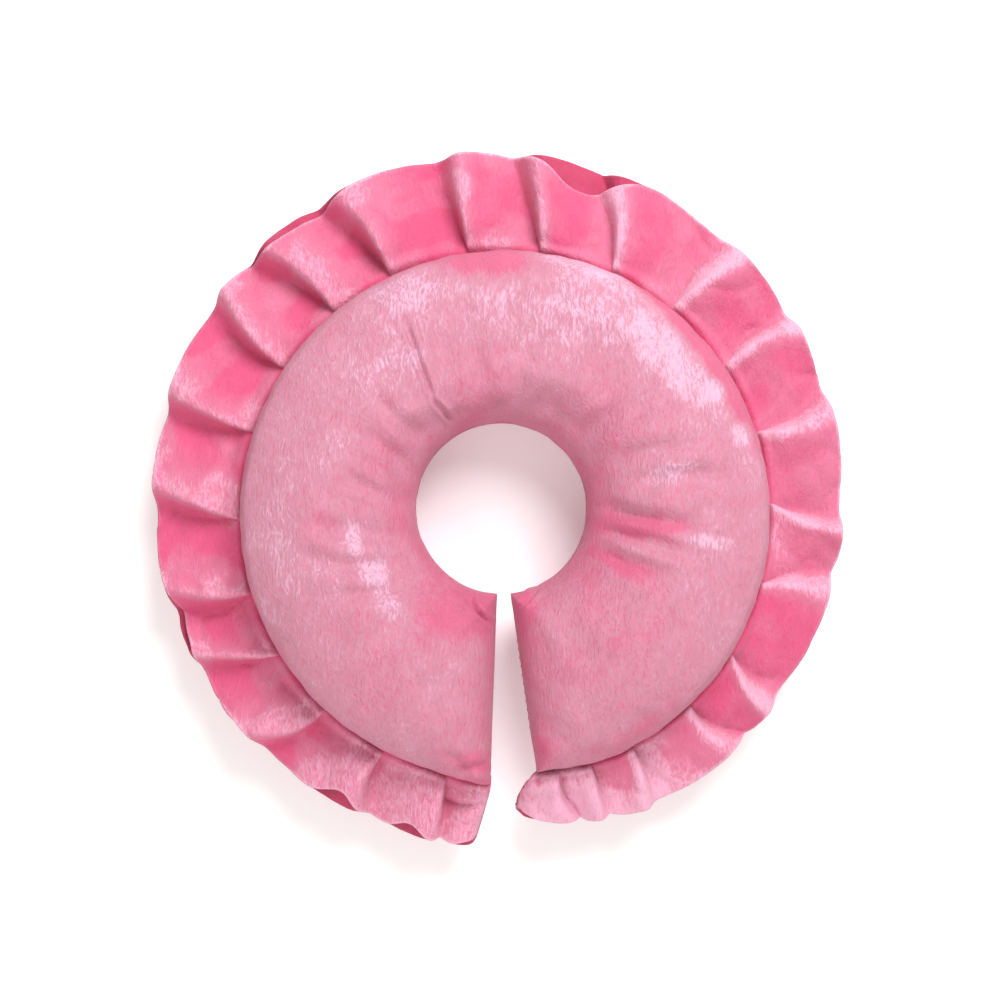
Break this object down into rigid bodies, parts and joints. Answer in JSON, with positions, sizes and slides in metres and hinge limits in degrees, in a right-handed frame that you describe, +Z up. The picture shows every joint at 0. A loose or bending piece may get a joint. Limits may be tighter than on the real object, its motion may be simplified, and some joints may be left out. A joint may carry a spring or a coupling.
{
  "type": "face cradle cushion",
  "caption": "C-shaped stuffed plush face cushion with a central face hole, an open slit at the front and a gathered double ruffle round its outer seam.",
  "frame": {"origin": "on the table, under the middle of the ruffle's outline", "axes": "+Z up out of the face hole, -Y towards the slit between the two arms, +X to the right seen from above with the slit towards the viewer"},
  "size_m": [0.4008, 0.3976, 0.084],
  "materials": {
    "face_plush": "short-pile pink plush with a silvery sheen, nap brushed in loose strokes",
    "back_plush": "the same pink plush on the underside, pressed a little flatter by the table",
    "ruffle_plush": "pink plush, gathered, more saturated in its folds and pale on its ridges",
    "filling": "white polyester fibre, matte",
    "thread": "pink polyester sewing thread, slight sheen"
  },
  "bodies": {
    "root": {"face_panel": "face_plush", "back_panel": "back_plush", "fibre_filling": "filling", "ruffle_front_leaf": "ruffle_plush", "ruffle_back_leaf": "ruffle_plush", "outer_seam_thread": "thread", "hole_seam_thread": "thread", "left_slit_seam_thread": "thread", "right_slit_seam_thread": "thread", "ruffle_gathering_thread": "thread", "closing_stitch_thread": "thread", "left_inner_corner_tack": "thread", "right_inner_corner_tack": "thread", "left_ruffle_end_tack": "thread", "right_ruffle_end_tack": "thread"}
  },
  "joints": []
}
